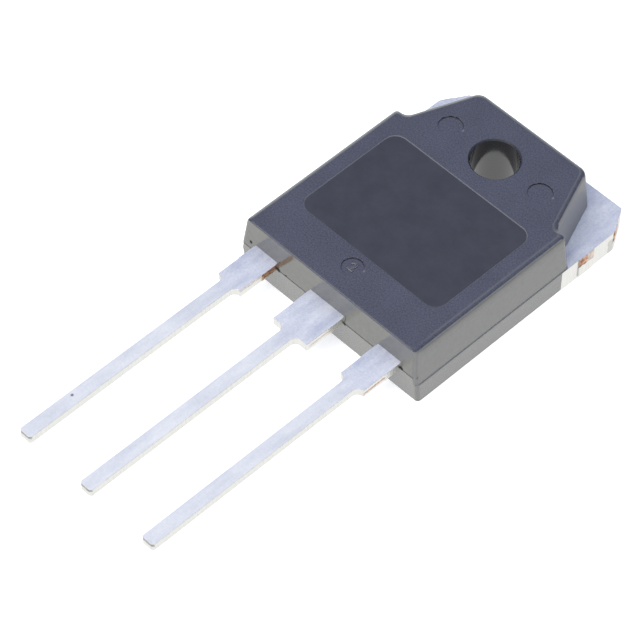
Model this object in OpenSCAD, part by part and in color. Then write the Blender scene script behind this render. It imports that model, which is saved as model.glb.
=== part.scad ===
// Three-lead plastic power transistor that lies on its metal back.
// Millimetres. X runs across the leads, Y from the lead tips to the metal tab, Z up from the
// heat-sink face. The origin is the axis of the screw hole, on the heat-sink face.

/* [Moulded body] */
// Width of the moulding below its parting line, and of the metal head flush with it
body_w = 15.7; // [15:0.1:17]
// Thickness of the whole package, back to top face
body_h = 4.8; // [4.6:0.05:5.4]
// From the screw hole to the face that the leads leave, at the parting line
lead_face_d = 15.0; // [14.4:0.1:17]
// From the screw hole back to the shoulders where the body narrows
shoulder_d = 1.15; // [0.9:0.05:1.5]
// From the screw hole to the plastic tip of the tab
tip_d = 3.8; // [3.5:0.05:4.2]
// Width of the tapered tab where it leaves the shoulders
neck_w = 13.9; // [13:0.1:14]
// Width of the tapered tab at its tip
tip_w = 10.0; // [9:0.1:10.8]
// Draft of the long sides above the parting line, degrees
side_draft = 6.1; // [3:0.1:7]
// Draft of the tapered flanks of the tab, degrees
flank_draft = 6.8; // [4:0.1:8]
// Draft of the tab tip and the shoulders, degrees
tip_draft = 3.5; // [2:0.1:5]
// Draft of the lead face above the leads, degrees
end_draft = 4.5; // [2:0.1:7]
// Draft of the lead face below the leads, degrees
under_draft = 6.5; // [2:0.1:8]
// Draft of the long sides below the parting line, degrees
rail_draft = 1.3; // [0.5:0.1:3]
// Step out to the half below the parting line of the long sides
parting_step = 0.06; // [0.02:0.01:0.1]
// Radius of the top edge along the sides and round the tab
top_edge_r = 0.4; // [0.2:0.02:0.5]
// Radius of the top edge over the leads
lead_edge_r = 0.14; // [0.05:0.01:0.2]
// Radius of the upright corners
corner_r = 0.28; // [0.1:0.02:0.3]
// Radius of the hollow corners at the shoulders
shoulder_fillet_r = 0.7; // [0.4:0.05:0.75]
// Radius of the two corners of the tab tip
tip_corner_r = 0.75; // [0.4:0.05:1]

/* [Screw hole and mould marks] */
// Diameter of the plastic-lined screw hole
hole_d = 3.3; // [3:0.05:3.6]
// Chamfer of its rim on the top face
hole_rim = 0.1; // [0.05:0.01:0.2]
// Width of the smooth label field on the top face
label_w = 12.1; // [10:0.1:12.6]
// Length of the label field
label_l = 8.7; // [7:0.1:9]
// From the lead face to the label field
label_gap = 3.4; // [2.6:0.1:3.8]
// Corner radius of the label field
label_r = 0.9; // [0.4:0.1:1.5]
// Depth of the label field, and of the slope round it
label_depth = 0.05; // [0.02:0.01:0.1]
// Diameter of the two ejector pin marks beside the screw hole
ejector_d = 1.7; // [1.2:0.1:2.2]
// Distance between the two ejector pin marks
ejector_span = 7.9; // [7.2:0.1:8.4]
// Diameter of the round mould recess near the leads
cavity_mark_d = 1.5; // [1:0.1:2]
// From the lead face to the centre of the mould recess
cavity_mark_gap = 2.2; // [1.4:0.1:2.3]
// Depth of the three round marks
mark_depth = 0.09; // [0.04:0.01:0.2]

/* [Metal header] */
// Thickness of the copper header
header_t = 1.75; // [1.4:0.05:2]
// From the screw hole to the far end of the header
header_end_d = 4.9; // [4.5:0.05:5.4]
// From the screw hole back to where the full-width head starts
head_start_d = 1.8; // [1.65:0.05:2.4]
// Width of the head between its corner chamfers
head_end_w = 13.6; // [12.4:0.1:14]
// Length of the corner chamfers along the side
head_chamfer_l = 1.85; // [1.5:0.05:2.2]
// Width of the bare pad on the back
pad_w = 13.6; // [12:0.1:13.9]
// From the screw hole to the lead end of the bare pad
pad_d = 10.0; // [9.4:0.1:10.4]
// Reach of the locking step that the moulding grips round the pad
lock_w = 0.3; // [0.15:0.05:0.4]
// Height of the locking step above the back
lock_z = 0.7; // [0.4:0.05:0.9]
// Diameter of the header's own hole, which the moulding lines
header_hole_d = 5.2; // [4.6:0.1:5.6]
// Length of the sheared tie-bar stub on each long side
tie_l = 1.4; // [1:0.1:1.6]
// From the screw hole to the middle of that stub
tie_d = 0.45; // [0.1:0.05:0.8]
// Length of the sheared stub on each corner chamfer
tie_chamfer_l = 0.9; // [0.6:0.05:1.1]
// From the side end of the chamfer to that stub
tie_chamfer_gap = 0.1; // [0.05:0.05:0.3]
// How far the sheared stubs stand proud
tie_proud = 0.04; // [0.02:0.01:0.1]
// Depth that the stubs are let into the header
tie_root = 0.5; // [0.3:0.1:0.8]

/* [Leads] */
// Distance between neighbouring leads
pitch = 5.45; // [5.35:0.01:5.6]
// Thickness of the leads
lead_t = 0.6; // [0.5:0.05:0.7]
// Height of the leads' lower face above the heat-sink face
lead_z = 2.45; // [2.2:0.05:2.6]
// Width of the leads beyond their wide part
lead_w = 1.0; // [0.8:0.05:1.2]
// Length of the leads outside the moulding
lead_l = 20.2; // [12:0.1:24]
// Width of the wide part of the two outer leads
outer_wide_w = 2.0; // [1.8:0.05:2.4]
// Width of the wide part of the centre lead
centre_wide_w = 3.0; // [2.6:0.05:3.4]
// Length of the wide parts outside the moulding
wide_l = 3.2; // [2.6:0.1:4]
// Radius of the hollow corners below the wide parts
lead_fillet_r = 0.45; // [0.2:0.05:0.5]
// Length of the sheared dam-bar stubs on the sides of the wide parts
dam_l = 1.3; // [0.8:0.1:1.5]
// From the lead face to those stubs
dam_gap = 0.1; // [0.05:0.05:0.3]
// How far those stubs stand proud
dam_proud = 0.03; // [0.02:0.01:0.06]
// Corner chamfer of the sheared lead tips
tip_chamfer = 0.14; // [0.05:0.01:0.25]
// Run of the upward bend of the centre lead inside the moulding
bend_run = 1.6; // [1.3:0.1:2]
// Width of the bonding posts at the inner ends of the outer leads
post_w = 3.2; // [2.6:0.1:3.4]
// Length of the bonding posts
post_l = 2.0; // [1.8:0.1:2.2]
// From the lead face to the bonding posts
post_gap = 1.2; // [1:0.05:1.4]
// Radius of the locking notches between lead face and post
notch_r = 0.3; // [0.2:0.05:0.4]

/* [Die and bond wires] */
// Side of the square silicon die
die_w = 5.2; // [4.4:0.1:5.8]
// Thickness of the die
die_t = 0.28; // [0.2:0.01:0.4]
// From the screw hole to the middle of the die
die_d = 6.2; // [6:0.1:6.4]
// Thickness of the solder under the die
solder_t = 0.07; // [0.04:0.01:0.12]
// How far the solder runs out beyond the die
solder_rim = 0.2; // [0.1:0.05:0.3]
// Diameter of the two thick wires to the emitter post
thick_wire_d = 0.38; // [0.25:0.01:0.45]
// Diameter of the thin wire to the base post
thin_wire_d = 0.2; // [0.15:0.01:0.25]
// Rise of a wire above the straight line between its two feet
wire_rise = 1.0; // [0.7:0.05:1.1]

/* [Hidden] */

$fn = 64;
// Overlap of cutting bodies past the faces that they cut
over = 1;
// Flat steps in each rounded corner of the moulding, and in its top edge
corner_steps = 7;
edge_steps = 7;
lead_top_z = lead_z + lead_t;
die_bottom_z = header_t + solder_t;
die_top_z = die_bottom_z + die_t;
lead_tip_y = -lead_face_d - lead_l;

plastic_col = [0.27, 0.28, 0.32];
tin_col = [0.80, 0.82, 0.88];
silicon_col = [0.45, 0.47, 0.52];
solder_col = [0.66, 0.67, 0.70];
wire_col = [0.84, 0.85, 0.87];

// Unit vector from a to b
function unit(a, b) = (b - a) / norm(b - a);

// Arc of radius r that replaces the corner at c, between the edges towards a and b
function round_corner(a, c, b, r) =
    let(ua = unit(c, a), ub = unit(c, b),
        half = acos(ua * ub) / 2,
        mid = c + (ua + ub) / norm(ua + ub) * r / sin(half),
        pa = c + ua * r / tan(half) - mid,
        pb = c + ub * r / tan(half) - mid,
        start = atan2(pa[1], pa[0]),
        turn = atan2(pb[1], pb[0]) - start,
        sweep = turn > 180 ? turn - 360 : turn < -180 ? turn + 360 : turn)
    [for (i = [0 : corner_steps])
        mid + r * [cos(start + sweep * i / corner_steps), sin(start + sweep * i / corner_steps)]];

// Depth that a round top edge of radius r has taken off a face at height z
function edge_in(z, r) =
    let(up = max(0, z - body_h + r))
    r - sqrt(max(0, r * r - up * up));

// How far each face has drawn in at height z: lead face, sides, shoulders, flanks, tip
function draw_in(z) =
    let(above_rail = max(0, z - header_t), above_lead = z - lead_z,
        over_leads = above_lead > 0 ? above_lead * tan(end_draft) : -above_lead * tan(under_draft),
        along_sides = z > header_t ? above_rail * tan(side_draft) + min(above_rail, parting_step)
                                   : (header_t - z) * tan(rail_draft),
        round_tab = edge_in(z, top_edge_r))
    [over_leads + edge_in(z, lead_edge_r),
     along_sides + round_tab,
     above_rail * tan(tip_draft) + round_tab,
     above_rail * tan(flank_draft) + round_tab,
     above_rail * tan(tip_draft) + round_tab];

// Outline of the moulding with each face drawn in by d, as listed above
function outline(d) =
    let(foot = [neck_w / 2, -shoulder_d], head = [tip_w / 2, tip_d],
        u = unit(foot, head), flank = foot - [u[1], -u[0]] * d[3],
        x = body_w / 2 - d[1],
        y_end = -lead_face_d + d[0], y_shoulder = -shoulder_d - d[2], y_tip = tip_d - d[4],
        right = [[x, y_end], [x, y_shoulder],
                 [flank[0] + (y_shoulder - flank[1]) * u[0] / u[1], y_shoulder],
                 [flank[0] + (y_tip - flank[1]) * u[0] / u[1], y_tip]],
        left = [for (i = [3 : -1 : 0]) [-right[i][0], right[i][1]]],
        c = concat(right, left), n = len(c),
        radii = [corner_r, corner_r, shoulder_fillet_r, tip_corner_r,
                 tip_corner_r, shoulder_fillet_r, corner_r, corner_r],
        // Length that each rounding takes of its edges, and its share where an edge is too short
        reach = [for (i = [0 : n - 1])
            radii[i] / tan(acos(unit(c[i], c[(i + 1) % n]) * unit(c[i], c[(i + n - 1) % n])) / 2)],
        share = [for (i = [0 : n - 1])
            min(1, 0.95 * norm(c[(i + 1) % n] - c[i]) / (reach[i] + reach[(i + 1) % n]))])
    [for (i = [0 : n - 1])
        each round_corner(c[(i + n - 1) % n], c[i], c[(i + 1) % n],
                          radii[i] * min(share[i], share[(i + n - 1) % n]))];

// Closed skin through rings that all have the same number of points
module skin(rings) {
    n = len(rings[0]);
    last = len(rings) - 1;
    points = [for (ring = rings) each ring];
    sides = [for (k = [0 : last - 1], i = [0 : n - 1])
        let(a = k * n + i, b = k * n + (i + 1) % n)
        each [[a, a + n, b + n], [a, b + n, b]]];
    bottom = [for (i = [0 : n - 1]) i];
    top = [for (i = [n - 1 : -1 : 0]) last * n + i];
    polyhedron(points = points, faces = concat([bottom], sides, [top]), convexity = 6);
}

// Drafted outer form of the moulding, with a rounded edge round its top face
module mould_form() {
    edge = [for (i = [0 : edge_steps]) body_h - top_edge_r * (1 - sin(90 * i / edge_steps))];
    levels = concat([0, header_t, header_t + parting_step, lead_z], edge);
    skin([for (z = levels) [for (p = outline(draw_in(z))) [p[0], p[1], z]]]);
}

// Round-cornered rectangle of width w and length l at height z, its low edge on y = 0
function round_rectangle(w, l, r, z) =
    let(c = [[w / 2, 0], [w / 2, l], [-w / 2, l], [-w / 2, 0]])
    [for (i = [0 : 3]) each [for (p = round_corner(c[(i + 3) % 4], c[i], c[(i + 1) % 4], r))
        [p[0], p[1], z]]];

// Plain screw hole with its chamfered rim
module screw_hole() {
    translate([0, 0, -over]) cylinder(d = hole_d, h = body_h + 2 * over);
    translate([0, 0, body_h - hole_rim])
        cylinder(d1 = hole_d, d2 = hole_d + 2 * (hole_rim + over), h = hole_rim + over);
}

// Label field, ejector pin marks and mould recess sunk into the top face
module top_marks() {
    rise = label_depth + over;
    translate([0, -lead_face_d + label_gap, body_h - label_depth])
        skin([round_rectangle(label_w, label_l, label_r, 0),
              [for (p = round_rectangle(label_w + 2 * rise, label_l + 2 * rise, label_r + rise, rise))
                  p - [0, rise, 0]]]);
    for (x = [-ejector_span / 2, ejector_span / 2])
        translate([x, 0, body_h - mark_depth]) cylinder(d = ejector_d, h = over);
    translate([0, -lead_face_d + cavity_mark_gap, body_h - mark_depth])
        cylinder(d = cavity_mark_d, h = over);
}

// One-piece moulding, cast round the metal, the die and the wires
module moulded_body() {
    color(plastic_col) difference() {
        mould_form();
        screw_hole();
        top_marks();
        header_metal();
        outer_lead_metal(-1);
        outer_lead_metal(1);
        solder_layer();
        die_block();
        thin_wire();
        thick_wire(-1);
        thick_wire(1);
    }
}

// Plan of a lead from its tip to y_in: narrow, then wide with hollow corners between
module lead_plan(wide, y_in) {
    y_wide = -lead_face_d - wide_l;
    difference() {
        union() {
            translate([-wide / 2, y_wide]) square([wide, y_in - y_wide]);
            translate([-lead_w / 2, lead_tip_y]) square([lead_w, y_wide + over - lead_tip_y]);
            translate([-lead_w / 2 - lead_fillet_r, y_wide - lead_fillet_r])
                square([lead_w + 2 * lead_fillet_r, lead_fillet_r + over]);
            translate([-wide / 2 - dam_proud, -lead_face_d - dam_gap - dam_l])
                square([wide + 2 * dam_proud, dam_l]);
        }
        for (s = [-1, 1]) {
            translate([s * (lead_w / 2 + lead_fillet_r), y_wide - lead_fillet_r])
                circle(r = lead_fillet_r);
            translate([s * lead_w / 2, lead_tip_y]) rotate(45)
                square(tip_chamfer * sqrt(2), center = true);
        }
    }
}

// Centre lead seen from the side, bent up from the header's top face to the lead level
module centre_profile() {
    y_low = -pad_d - lock_w;
    y_high = y_low - bend_run;
    low_z = header_t - lead_t;
    rise = lead_z - low_z;
    // Shift that keeps the sheet's thickness through both bends
    shift = lead_t * tan(atan(rise / bend_run) / 2);
    polygon([[y_low + over, low_z], [y_low - shift, low_z], [y_high - shift, lead_z],
             [lead_tip_y - over, lead_z], [lead_tip_y - over, lead_top_z],
             [y_high, lead_top_z], [y_low, header_t], [y_low + over, header_t]]);
}

module centre_lead() {
    y_in = -pad_d - lock_w + over;
    intersection() {
        linear_extrude(height = body_h) lead_plan(centre_wide_w, y_in);
        translate([-body_w / 2, 0, 0]) rotate([90, 0, 90])
            linear_extrude(height = body_w) centre_profile();
    }
}

// Sheared stubs of the tie bars, one on each long side and one on each corner chamfer
module tie_stubs() {
    dx = (body_w - head_end_w) / 2;
    slope = atan(dx / head_chamfer_l);
    for (s = [0, 1]) mirror([s, 0, 0]) {
        translate([body_w / 2 - tie_root, tie_d - tie_l / 2, 0])
            cube([tie_root + tie_proud, tie_l, header_t]);
        translate([body_w / 2, header_end_d - head_chamfer_l, 0]) rotate([0, 0, slope])
            translate([-tie_root, tie_chamfer_gap, 0])
                cube([tie_root + tie_proud, tie_chamfer_l, header_t]);
    }
}

// Copper stamping: thick header with its full-width head, and the centre lead drawn from it
module header_metal() {
    y_head = -head_start_d;
    y_chamfer = header_end_d - head_chamfer_l;
    difference() {
        union() {
            linear_extrude(height = header_t)
                polygon([[-body_w / 2, y_head], [body_w / 2, y_head], [body_w / 2, y_chamfer],
                         [head_end_w / 2, header_end_d], [-head_end_w / 2, header_end_d],
                         [-body_w / 2, y_chamfer]]);
            translate([-pad_w / 2, -pad_d, 0]) cube([pad_w, pad_d + y_head + over, header_t]);
            translate([-pad_w / 2 - lock_w, -pad_d - lock_w, lock_z])
                cube([pad_w + 2 * lock_w, pad_d + lock_w + y_head + over, header_t - lock_z]);
            centre_lead();
            tie_stubs();
        }
        translate([0, 0, -over]) cylinder(d = header_hole_d, h = header_t + 2 * over);
    }
}

module collector_header() {
    color(tin_col) header_metal();
}

// Outer lead on side s, with its bonding post and the notches that lock it in the moulding
module outer_lead_metal(s) {
    y_post = -lead_face_d + post_gap;
    translate([s * pitch, 0, lead_z]) linear_extrude(height = lead_t) difference() {
        union() {
            lead_plan(outer_wide_w, y_post + over);
            translate([-post_w / 2, y_post]) square([post_w, post_l]);
        }
        for (e = [-1, 1])
            translate([e * outer_wide_w / 2, y_post - 2 * notch_r]) circle(r = notch_r);
    }
}

module base_lead() {
    color(tin_col) outer_lead_metal(-1);
}

module emitter_lead() {
    color(tin_col) outer_lead_metal(1);
}

// Square solder layer between header and die
module solder_layer() {
    w = die_w + 2 * solder_rim;
    translate([-w / 2, -die_d - w / 2, header_t]) cube([w, w, solder_t]);
}

module die_solder() {
    color(solder_col) solder_layer();
}

module die_block() {
    translate([-die_w / 2, -die_d - die_w / 2, die_bottom_z]) cube([die_w, die_w, die_t]);
}

module silicon_die() {
    color(silicon_col) die_block();
}

// Height of a wire's centre line over its die foot, at the share t of its way to the post
function wire_z(t, r_foot) =
    die_top_z + r_foot + (lead_top_z - die_top_z) * (3 - 2 * t) * t * t
    + wire_rise * 4 * t * (1 - t);

// Bonded wire of diameter d from a on the die to b on a post, with a pressed flat foot at each
// end. Eight-sided rings stand square to the wire, with a flat side down.
module bond_wire(a, b, d) {
    foot_l = 2.5 * d;
    span = norm(b - a);
    along = unit(a, b);
    side = [-along[1], along[0], 0];
    // Half thickness and half width of the feet, and the wire's radius, to the flats
    foot_r = 0.3 * d;
    foot_hw = 0.62 * d;
    wire_r = 0.46 * d;
    steps = 14;
    ends = foot_l / span;
    shares = concat([0, ends * 0.5], [for (i = [1 : steps - 1]) ends + (1 - 2 * ends) * i / steps],
                    [1 - ends * 0.5, 1]);
    last = len(shares) - 1;
    grown = [for (i = [0 : last]) i < 2 || i > last - 2 ? 0 : min(1, min(i - 1, last - 1 - i) / 2)];
    centres = [for (i = [0 : last])
        let(flat = i < 2 || i > last - 2,
            t = (shares[i] - ends) / (1 - 2 * ends),
            z = i < 2 ? die_top_z + foot_r : flat ? lead_top_z + foot_r : wire_z(t, foot_r),
            p = a + (b - a) * shares[i])
        [p[0], p[1], z]];
    skin([for (i = [0 : last])
        let(flat = i < 2 || i > last - 2,
            run = flat ? [along[0], along[1], 0] : unit(centres[i - 1], centres[i + 1]),
            up = cross(run, side),
            half_h = foot_r + (wire_r - foot_r) * grown[i],
            half_w = foot_hw + (wire_r - foot_hw) * grown[i])
        [for (k = [0 : 7])
            let(q = 22.5 + 45 * k)
            centres[i] + side * half_w * cos(q) / cos(22.5) + up * half_h * sin(q) / cos(22.5)]]);
}

// Middle of the bonding post on side s
function post_at(s) = [s * pitch, -lead_face_d + post_gap + post_l / 2];

// Thin wire from the base pad of the die to the base post
module thin_wire() {
    bond_wire([-0.3 * die_w, -die_d - 0.33 * die_w], post_at(-1), thin_wire_d);
}

// One of the two thick wires from the emitter pad of the die to the emitter post
module thick_wire(s) {
    gap = 0.2 * die_w;
    bond_wire([0.22 * die_w + s * gap / 2, -die_d + s * 0.08 * die_w],
              post_at(1) + [s * gap / 2, 0], thick_wire_d);
}

module base_wire() {
    color(wire_col) thin_wire();
}

module emitter_wire_left() {
    color(wire_col) thick_wire(-1);
}

module emitter_wire_right() {
    color(wire_col) thick_wire(1);
}

moulded_body();
collector_header();
base_lead();
emitter_lead();
silicon_die();
die_solder();
base_wire();
emitter_wire_left();
emitter_wire_right();
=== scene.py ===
import math

import bmesh
import bpy
from mathutils import Matrix, Vector


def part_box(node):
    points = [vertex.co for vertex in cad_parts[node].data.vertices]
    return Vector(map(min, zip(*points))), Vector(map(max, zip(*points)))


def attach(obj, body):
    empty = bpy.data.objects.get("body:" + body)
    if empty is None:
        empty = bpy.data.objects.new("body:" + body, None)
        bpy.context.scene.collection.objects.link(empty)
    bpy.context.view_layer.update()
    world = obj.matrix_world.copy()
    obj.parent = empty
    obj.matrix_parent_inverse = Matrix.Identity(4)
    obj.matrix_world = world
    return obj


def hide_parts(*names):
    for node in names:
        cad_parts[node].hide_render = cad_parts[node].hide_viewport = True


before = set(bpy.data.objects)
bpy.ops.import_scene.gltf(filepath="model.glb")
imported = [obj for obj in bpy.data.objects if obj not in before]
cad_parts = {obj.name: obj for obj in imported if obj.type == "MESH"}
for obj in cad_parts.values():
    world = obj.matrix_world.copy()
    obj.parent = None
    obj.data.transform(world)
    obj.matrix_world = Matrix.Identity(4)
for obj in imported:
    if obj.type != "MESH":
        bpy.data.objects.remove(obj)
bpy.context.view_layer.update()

MM = 0.001

# View, floor and light
# The part lies on a wide pale floor and is seen from its lead side, with its right side near. The
# studio is bright overhead and dim towards the horizon, so that upright faces mirror the pale
# floor and rounded edges turn dark half way round.
# Angles in degrees, then the distance and the point that is looked at
VIEW_AZIMUTH = 44.70
VIEW_ELEVATION = 51.56
VIEW_ROLL = 1.14
VIEW_DISTANCE = 208.96 * MM
VIEW_TARGET = Vector((0.06, -15.64, 2.0)) * MM
# The picture's focal length in pixels, and its width
FOCAL_PX = 3350.9
PICTURE_PX = 640
SENSOR_WIDTH = 36


def linear(hex_code):
    """Linear colour, with alpha, of an sRGB hex code."""
    parts = [int(hex_code[i:i + 2], 16) / 255 for i in (0, 2, 4)]
    parts = [c / 12.92 if c <= 0.04045 else ((c + 0.055) / 1.055) ** 2.4 for c in parts]
    return (*parts, 1.0)


def add(tree, kind, links=None, **settings):
    """Adds a node; links maps an input's name or number to a value or to another node's output."""
    node = tree.nodes.new(kind)
    for name, value in settings.items():
        setattr(node, name, value)
    for key, value in (links or {}).items():
        if isinstance(value, bpy.types.NodeSocket):
            tree.links.new(value, node.inputs[key])
        else:
            node.inputs[key].default_value = value
    return node


def new_material(name):
    """An empty node material, with its tree and its output node."""
    material = bpy.data.materials.new(name)
    material.use_nodes = True
    material.node_tree.nodes.clear()
    return material, material.node_tree, add(material.node_tree, "ShaderNodeOutputMaterial")


azimuth, elevation, roll = (math.radians(a) for a in (VIEW_AZIMUTH, VIEW_ELEVATION, VIEW_ROLL))
back = Vector((math.sin(azimuth) * math.cos(elevation),
               -math.cos(azimuth) * math.cos(elevation), math.sin(elevation)))
level_right = Vector((math.cos(azimuth), math.sin(azimuth), 0))
level_up = back.cross(level_right)
right = level_right * math.cos(roll) + level_up * math.sin(roll)
up = level_up * math.cos(roll) - level_right * math.sin(roll)
camera = bpy.data.objects.new("camera", bpy.data.cameras.new("camera"))
camera.data.sensor_width = SENSOR_WIDTH
camera.data.lens = SENSOR_WIDTH * FOCAL_PX / PICTURE_PX
camera.data.clip_start = 10 * MM
turn = Matrix((right, up, back)).transposed().to_4x4()
camera.matrix_world = Matrix.Translation(VIEW_TARGET + back * VIEW_DISTANCE) @ turn
bpy.context.scene.collection.objects.link(camera)
bpy.context.scene.camera = camera

FLOOR_REACH = 30.0
FLOOR_WHITE = linear("F4F5F6")
# What a straight look adds to the floor's own light, so that it reaches white beside a shadow
FLOOR_LIFT = 0.6
floor_mesh = bpy.data.meshes.new("studio_floor")
corners = [(x * FLOOR_REACH, y * FLOOR_REACH, 0) for x, y in ((-1, -1), (1, -1), (1, 1), (-1, 1))]
floor_mesh.from_pydata(corners, [], [(0, 1, 2, 3)])
floor = bpy.data.objects.new("studio_floor", floor_mesh)
bpy.context.scene.collection.objects.link(floor)
floor_paint, tree, out = new_material("white studio floor")
path = add(tree, "ShaderNodeLightPath")
mirrored = add(tree, "ShaderNodeMath", {0: path.outputs["Is Glossy Ray"],
                                        1: path.outputs["Is Transmission Ray"]},
               operation="MAXIMUM")
matt = add(tree, "ShaderNodeBsdfDiffuse", {"Color": FLOOR_WHITE})
white = add(tree, "ShaderNodeEmission", {"Color": (1, 1, 1, 1), "Strength": 1.0})
lift = add(tree, "ShaderNodeMath", {0: path.outputs["Is Camera Ray"], 1: FLOOR_LIFT},
           operation="MULTIPLY")
glow = add(tree, "ShaderNodeEmission", {"Color": (1, 1, 1, 1), "Strength": lift.outputs[0]})
seen = add(tree, "ShaderNodeAddShader", {0: matt.outputs[0], 1: glow.outputs[0]})
surface = add(tree, "ShaderNodeMixShader", {0: mirrored.outputs[0], 1: seen.outputs[0],
                                            2: white.outputs[0]})
tree.links.new(surface.outputs[0], out.inputs[0])
floor.data.materials.append(floor_paint)

# Brightness of the surroundings by height: 0 at the horizon, 1 straight overhead
SKY = ((0.0, 0.05), (0.45, 0.08), (0.56, 0.16), (0.78, 0.68), (1.0, 1.0))
SKY_TINT = (0.84, 0.89, 1.0)
SKY_STRENGTH = 1.6
world = bpy.data.worlds.new("studio")
bpy.context.scene.world = world
world.use_nodes = True
tree = world.node_tree
tree.nodes.clear()
coords = add(tree, "ShaderNodeTexCoord")
height = add(tree, "ShaderNodeSeparateXYZ", {0: coords.outputs["Generated"]})
ramp = add(tree, "ShaderNodeValToRGB", {0: height.outputs["Z"]})
steps = ramp.color_ramp.elements
for position, bright in SKY[1:-1]:
    steps.new(position)
for step, (position, bright) in zip(steps, SKY):
    step.color = tuple(bright * part for part in SKY_TINT) + (1.0,)
sky = add(tree, "ShaderNodeBackground", {"Color": ramp.outputs[0], "Strength": SKY_STRENGTH})
add(tree, "ShaderNodeOutputWorld", {0: sky.outputs[0]})

# One wide warm panel, high over the lead side: its direction, distance, width and power
LAMP_DIRECTION = Vector((-0.10, -0.60, 0.79)).normalized()
LAMP_DISTANCE = 0.6
LAMP_WIDTH = 0.5
LAMP_POWER = 2.4
LAMP_COLOUR = (1.0, 0.93, 0.80)
lamp_data = bpy.data.lights.new("overhead_panel", "AREA")
lamp_data.shape = "SQUARE"
lamp_data.size = LAMP_WIDTH
lamp_data.energy = LAMP_POWER
lamp_data.color = LAMP_COLOUR
lamp = bpy.data.objects.new("overhead_panel", lamp_data)
lamp.location = LAMP_DIRECTION * LAMP_DISTANCE
lamp.rotation_euler = lamp.location.to_track_quat("Z", "Y").to_euler()
bpy.context.scene.collection.objects.link(lamp)

# Metal header with its centre lead
# A copper stamping of two gauges: the thick heat-sink plate and the thin centre lead that is bent
# up from it. The strip was tin plated before moulding, and the tie bars were sheared off after it.
EDGE_ROUND = 0.06 * MM
ROUND_STEPS = 3
# Points closer than this are one point, and facets that turn by less than this lie in one plane
WELD = 0.0005 * MM
SAME_PLANE = math.radians(0.2)
# Edges that turn by more than this are rounded
SHARP_EDGE = math.radians(40)
# Neighbouring faces shade into each other where the cosine of their turn is above this
SMOOTH_LIMIT = math.cos(math.radians(32))


def soften(mesh):
    """Shades small facets round, while large faces stay flat and parting lines stay crisp."""
    around = [[] for _ in mesh.vertices]
    for face in mesh.polygons:
        for corner in face.vertices:
            around[corner].append((face.normal.copy(), face.area))
    normals = []
    for face in mesh.polygons:
        for corner in face.vertices:
            blend = Vector()
            for normal, area in around[corner]:
                same_half = normal.z * face.normal.z > -0.001
                if same_half and normal.dot(face.normal) > SMOOTH_LIMIT:
                    blend += normal * area
            normals.append(blend.normalized())
    mesh.shade_smooth()
    mesh.normals_split_custom_set(normals)


def dressed(node, name, bevel, worn=None):
    """A welded copy of a CAD node with rounded sharp edges, or only those that worn picks."""
    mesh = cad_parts[node].data.copy()
    mesh.materials.clear()
    bm = bmesh.new()
    bm.from_mesh(mesh)
    bmesh.ops.remove_doubles(bm, verts=bm.verts, dist=WELD)
    bmesh.ops.dissolve_limit(bm, angle_limit=SAME_PLANE, verts=bm.verts, edges=bm.edges)
    weight = bm.edges.layers.float.new("bevel_weight_edge")
    for edge in bm.edges:
        edge[weight] = float(bool(worn and worn(*(vert.co for vert in edge.verts))))
    bm.to_mesh(mesh)
    bm.free()
    piece = bpy.data.objects.new(name, mesh)
    bpy.context.scene.collection.objects.link(piece)
    rounding = piece.modifiers.new("edges", "BEVEL")
    rounding.width = bevel
    rounding.segments = ROUND_STEPS
    rounding.limit_method = "WEIGHT" if worn else "ANGLE"
    rounding.angle_limit = SHARP_EDGE
    evaluated = piece.evaluated_get(bpy.context.evaluated_depsgraph_get())
    piece.data = bpy.data.meshes.new_from_object(evaluated)
    piece.modifiers.clear()
    piece.data.name = name
    soften(piece.data)
    return piece


def inside(tree, position, low, high, soft=0.05):
    """1 inside the box with these corners in millimetres, fading to 0 across its faces."""
    centre = (Vector(low) + Vector(high)) / 2 * MM
    reach = (Vector(high) - Vector(low)) / 2 * MM
    away = add(tree, "ShaderNodeVectorMath", {0: position, 1: centre}, operation="SUBTRACT")
    away = add(tree, "ShaderNodeVectorMath", {0: away.outputs[0]}, operation="ABSOLUTE")
    past = add(tree, "ShaderNodeVectorMath", {0: away.outputs[0], 1: reach}, operation="SUBTRACT")
    axes = add(tree, "ShaderNodeSeparateXYZ", {0: past.outputs[0]})
    most = add(tree, "ShaderNodeMath", {0: axes.outputs[0], 1: axes.outputs[1]},
               operation="MAXIMUM")
    most = add(tree, "ShaderNodeMath", {0: most.outputs[0], 1: axes.outputs[2]},
               operation="MAXIMUM")
    return add(tree, "ShaderNodeMapRange", {"Value": most.outputs[0], "From Min": -soft * MM,
                                            "From Max": soft * MM, "To Min": 1.0,
                                            "To Max": 0.0}).outputs[0]


def near(tree, position, centre, radius):
    """1 round a point in millimetres, from half the radius on fading to 0 at the radius."""
    away = add(tree, "ShaderNodeVectorMath", {0: position, 1: Vector(centre) * MM},
               operation="DISTANCE")
    return add(tree, "ShaderNodeMapRange", {"Value": away.outputs["Value"],
                                            "From Min": 0.5 * radius * MM,
                                            "From Max": radius * MM, "To Min": 1.0,
                                            "To Max": 0.0}).outputs[0]


def strongest(tree, masks):
    """The highest of several masks, each of them scaled by its own amount."""
    top = None
    for mask, amount in masks:
        scaled = add(tree, "ShaderNodeMath", {0: mask, 1: amount}, operation="MULTIPLY")
        if top:
            scaled = add(tree, "ShaderNodeMath", {0: top, 1: scaled.outputs[0]},
                         operation="MAXIMUM")
        top = scaled.outputs[0]
    return top


def ragged(tree, coords, size, reach):
    """Coordinates that wander within reach, so that a mask on them gets uneven borders."""
    wander = add(tree, "ShaderNodeTexNoise", {"Vector": coords, "Scale": 1 / size, "Detail": 2.0})
    centred = add(tree, "ShaderNodeVectorMath", {0: wander.outputs["Color"], 1: (0.5, 0.5, 0.5)},
                  operation="SUBTRACT")
    return add(tree, "ShaderNodeVectorMath", {0: centred.outputs[0], 1: (reach, reach, reach),
                                              2: coords}, operation="MULTIPLY_ADD").outputs[0]


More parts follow.
